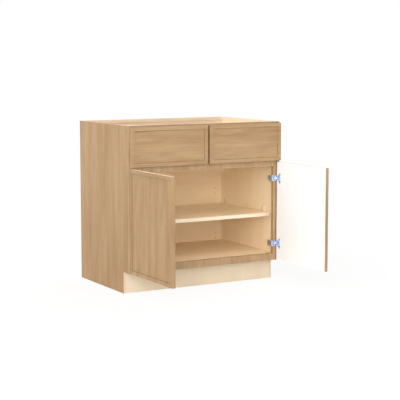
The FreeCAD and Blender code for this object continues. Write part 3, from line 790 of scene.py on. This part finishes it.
for side in sides:
    node = side + "_hinge_pins"
    set_in_place(node + "_steel", seated(node, pin), [nickel], side + "_door", node)


# Screws: zinc-plated pan heads with a cross recess and a rolled thread, driven home in their
# holes. A screw is made with its crown at the origin and its point up, then turned to its seat.
head_height = 0.0012
core_share = 0.72
thread_radius = 0.00175
thread_pitch = 0.0013
point_length = 0.003
crown_shares = ((0.6, 0), (0.83, 0.12), (0.96, 0.42), (1, 0.85), (1, 1))
recess_arm = 0.0015
recess_half_width = 0.00035
recess_depth = 0.0009
recess_taper_share = 0.6
screw_facets = 24
screw_colour = (132, 129, 126)


# The crown's open rim is bridged to a cross, which narrows as it sinks into the head.
def cut_recess(shape):
    rim = [edge for edge in shape.edges if edge.is_boundary]
    arm, half = recess_arm, recess_half_width
    quarter_cross = [Vector(place) for place in ((arm, -half, 0), (arm, half, 0), (half, half, 0))]
    corners = []
    for quarter in range(4):
        turn = Matrix.Rotation(math.radians(90 * quarter), 3, "Z")
        corners += [shape.verts.new(turn @ place) for place in quarter_cross]
    for number, corner in enumerate(corners):
        shape.edges.new((corners[number - 1], corner))
    bmesh.ops.subdivide_edges(shape, edges=[edge for edge in shape.edges if edge.is_wire], cuts=1)
    cross = [edge for edge in shape.edges if edge.is_wire]
    bmesh.ops.bridge_loops(shape, edges=rim + cross)
    sunk = bmesh.ops.extrude_edge_only(shape, edges=cross)["geom"]
    sunk_corners = [item for item in sunk if isinstance(item, bmesh.types.BMVert)]
    sunk_edges = [item for item in sunk if isinstance(item, bmesh.types.BMEdge)]
    tapered = Matrix.Diagonal((recess_taper_share, recess_taper_share, 1, 1))
    bmesh.ops.transform(shape, matrix=Matrix.Translation((0, 0, recess_depth)) @ tapered, verts=sunk_corners)
    bmesh.ops.edgeloop_fill(shape, edges=sunk_edges)
    bmesh.ops.recalc_face_normals(shape, faces=shape.faces)


# The profile runs from the crown's rim over the head and along the shank, with one ridge for
# each turn of the thread.
def pan_screw(length, radius):
    core = thread_radius * core_share
    flank = thread_pitch / 4
    profile = [(radius * across, head_height * up) for across, up in crown_shares]
    profile.append((core, head_height))
    turns = int((length - head_height - point_length) / thread_pitch)
    for number in range(turns):
        crest = head_height + (number + 1) * thread_pitch
        profile += [(core, crest - flank), (thread_radius, crest), (core, crest + flank)]
    profile += [(core, max(length - point_length, head_height)), (0, length)]
    screw = turned(profile, screw_facets)
    cut_recess(screw)
    return screw


screw_steel = plated("screw_plate", screw_colour, roughness=0.32)
for node, body in (("corner_brace_screws", "carcass"), ("hinge_arm_screws", "carcass"),
                   ("slide_screws", "carcass"), ("slide_bracket_screws", "carcass"),
                   ("right_hinge_cup_screws", "right_door"), ("left_hinge_cup_screws", "left_door"),
                   ("right_drawer_front_screws", "right_drawer"),
                   ("left_drawer_front_screws", "left_drawer")):
    set_in_place(node + "_steel", seated(node, pan_screw), [screw_steel], body, node)


# Bumpers: clear soft plastic domes, stuck on the inner faces of the doors and drawer fronts,
# which quiet them when they shut against the frame.
dome_shares = ((0, 0), (1, 0), (1, 0.25), (0.94, 0.5), (0.76, 0.76), (0.45, 0.94), (0, 1))
dome_facets = 32
bumper_colour = (246, 247, 246)


def dome(length, radius):
    return turned([(radius * across, length * up) for across, up in dome_shares], dome_facets)


bumper_clear = plastic("bumper_clear", bumper_colour, roughness=0.3, subsurface=0.2, clearness=0.15)
for side in sides:
    for part in ("door", "drawer"):
        node = side + "_" + part + "_bumpers"
        set_in_place(node + "_clear", seated(node, dome), [bumper_clear], side + "_" + part, node)


# Studio: a pale floor that keeps the cabinet's shadow, white all round for the camera, and six
# soft lamps far away, which light every side at a plain level. Each lamp has the direction that
# it shines from, its level and its softness in degrees.
floor_half = 12
floor_colour = (238, 237, 235)
floor_roughness = 0.9
floor_white_share = 0.85
white = (1, 1, 1, 1)
world_level = 0.46
lamps = (
    ("front_lamp", (-0.6, -1, 0.12), 0.50, 40),
    ("corner_lamp", (-1, -1, 0.3), 0.20, 50),
    ("high_lamp", (-0.5, -1, 0.9), 0.24, 50),
    ("side_lamp", (-1, -0.15, 0.45), 0.29, 50),
    ("top_lamp", (0.1, -0.2, 1), 0.20, 60),
    ("right_lamp", (1, 0.45, 0.2), 0.26, 50),
)
scene = bpy.context.scene
scene.view_settings.view_transform = "Standard"
world = bpy.data.worlds.new("studio")
scene.world = world
world.use_nodes = True
tree = world.node_tree
rays = add(tree, "LightPath").outputs
seen = maths(tree, "MAXIMUM", rays["Is Camera Ray"], rays["Is Transmission Ray"])
shown = maths(tree, "MAXIMUM", seen, rays["Is Glossy Ray"])
feed(tree, tree.nodes["Background"], {"Color": white, "Strength": ranged(tree, shown, 0, 1, world_level, 1)})
ground = bmesh.new()
bmesh.ops.create_grid(ground, x_segments=1, y_segments=1, size=floor_half)
floor_mesh = bpy.data.meshes.new("floor")
ground.to_mesh(floor_mesh)
ground.free()
floor = bpy.data.objects.new("floor", floor_mesh)
scene.collection.objects.link(floor)
floor_finish, tree, surface = new_material("floor_paper")
to_camera = add(tree, "LightPath").outputs["Is Camera Ray"]
feed(tree, surface, {
    "Base Color": mixed(tree, to_camera, paint(*floor_colour), white),
    "Roughness": floor_roughness, "Specular IOR Level": 0,
})
bright = add(tree, "Emission", {"Color": white, "Strength": 1}).outputs[0]
share = maths(tree, "MULTIPLY", to_camera, floor_white_share)
paper = add(tree, "MixShader", {0: share, 1: surface.outputs[0], 2: bright}).outputs[0]
feed(tree, tree.nodes["Material Output"], {"Surface": paper})
floor_mesh.materials.append(floor_finish)

# A sun lamp of full strength lights a face square to it at just the face's own colour.
full_sun = math.pi
for name, toward, level, softness in lamps:
    lamp_data = bpy.data.lights.new(name, "SUN")
    lamp_data.energy = level * full_sun
    lamp_data.angle = math.radians(softness)
    lamp = bpy.data.objects.new(name, lamp_data)
    lamp.rotation_euler = Vector(toward).to_track_quat("Z", "Y").to_euler()
    scene.collection.objects.link(lamp)


# Camera: where the photograph was taken from, a little above the cabinet's top and far off to
# the front left. Its place, turn and lens were fitted to the cabinet's corners.
camera_place = (-3.098, -5.929, 1.216)
camera_tilt = math.radians(83.11)
camera_turn = math.radians(-29.87)
camera_lens = 105.3
sensor_width = 36
camera_data = bpy.data.cameras.new("camera")
camera_data.lens = camera_lens
camera_data.sensor_width = sensor_width
camera = bpy.data.objects.new("camera", camera_data)
camera.location = camera_place
camera.rotation_euler = (camera_tilt, 0, camera_turn)
scene.collection.objects.link(camera)
scene.camera = camera
